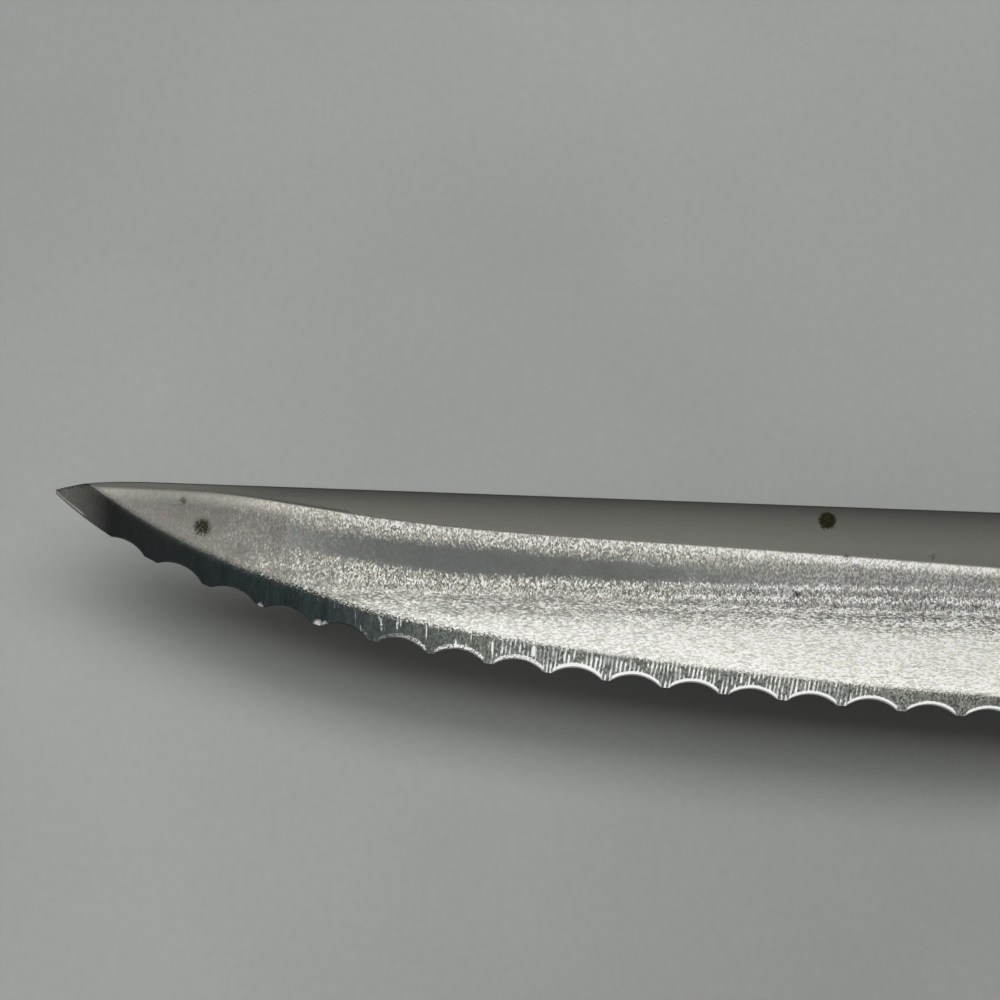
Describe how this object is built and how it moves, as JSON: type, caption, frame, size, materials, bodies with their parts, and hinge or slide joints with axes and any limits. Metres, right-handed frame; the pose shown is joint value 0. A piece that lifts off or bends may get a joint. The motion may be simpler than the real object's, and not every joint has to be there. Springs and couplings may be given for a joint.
{
  "type": "trimming knife",
  "caption": "Fixed-blade trimming knife: pointed hollow-ground blade with a scalloped single-bevel edge, full tang between two riveted hardwood scales.",
  "frame": {"origin": "on the supporting surface, under the middle of the bounding box of the knife lying on its right scale", "axes": "+X from the tip toward the butt, +Y toward the spine, +Z out of the left side of the blade"},
  "size_m": [0.242, 0.0272, 0.0162],
  "materials": {
    "steel": "satin ground steel, coarse long grind lines in the hollow",
    "scale_wood": "oiled dark hardwood, fine straight grain",
    "rivet_brass": "ground flush, lightly tarnished"
  },
  "bodies": {
    "root": {"blade": "steel", "left_scale": "scale_wood", "right_scale": "scale_wood", "front_rivet_socket": "rivet_brass", "front_rivet_pin": "rivet_brass", "middle_rivet_socket": "rivet_brass", "middle_rivet_pin": "rivet_brass", "rear_rivet_socket": "rivet_brass", "rear_rivet_pin": "rivet_brass"}
  },
  "joints": []
}
